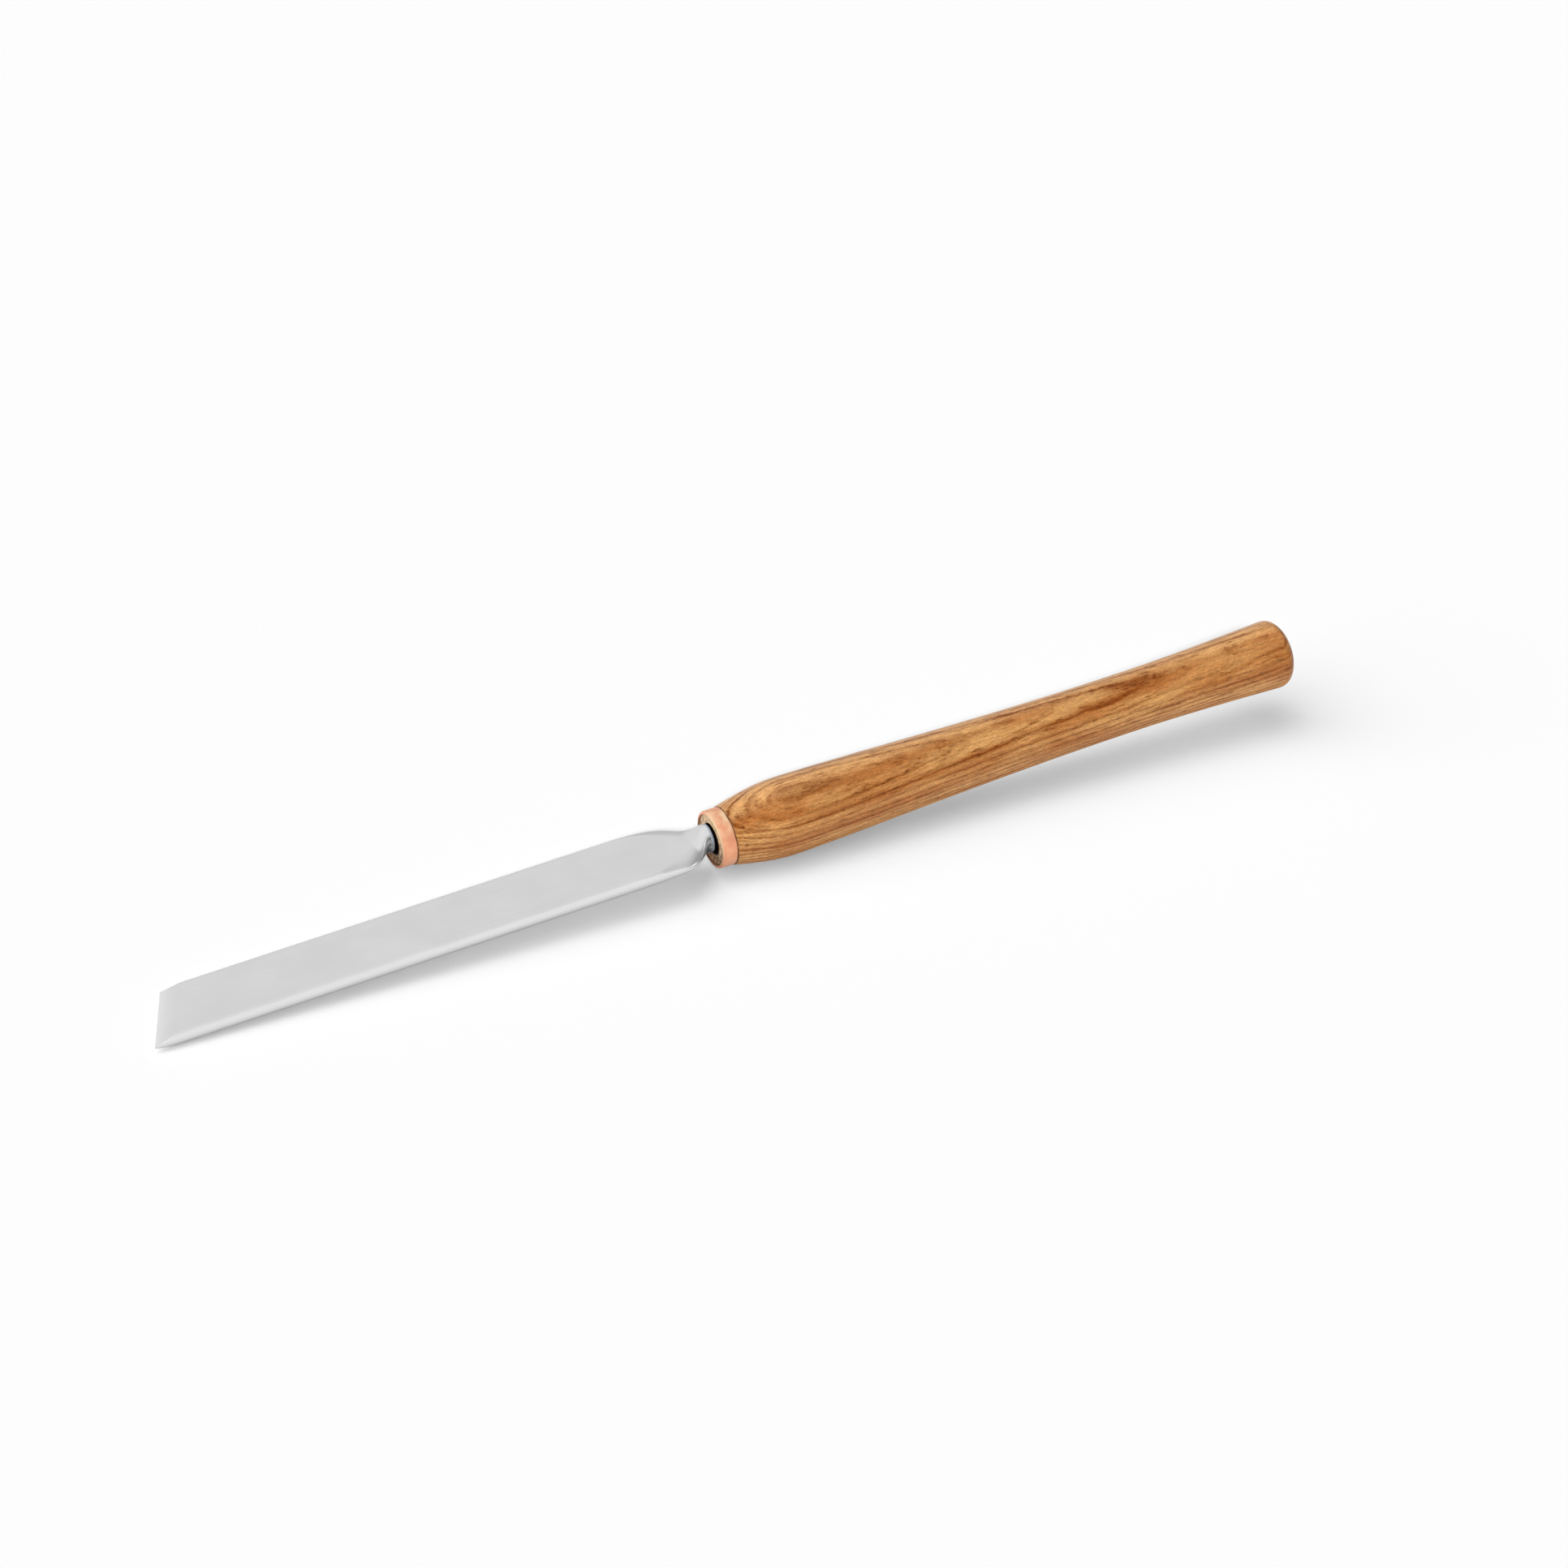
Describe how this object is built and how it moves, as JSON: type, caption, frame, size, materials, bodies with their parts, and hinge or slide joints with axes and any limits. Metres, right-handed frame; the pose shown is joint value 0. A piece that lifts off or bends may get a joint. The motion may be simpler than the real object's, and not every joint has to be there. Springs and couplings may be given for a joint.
{
  "type": "skew chisel",
  "caption": "Wood-turning skew chisel: flat double-bevelled steel blade with a slanted edge, forged neck and tang, copper ring ferrule and turned oak handle.",
  "frame": {"origin": "on the handle's axis, halfway between the long point of the blade and the butt", "axes": "+X along the handle's axis from the tip to the butt, +Z square to the blade's flats, the long point of the edge on the -Y side"},
  "size_m": [0.473, 0.0318, 0.0298],
  "materials": {
    "blade_steel": "satin ground tool steel",
    "ferrule_copper": "polished copper tube, lightly tarnished",
    "handle_oak": "oiled oak, turned and sanded"
  },
  "bodies": {
    "root": {"blade": "blade_steel", "ferrule": "ferrule_copper", "handle": "handle_oak"}
  },
  "joints": []
}
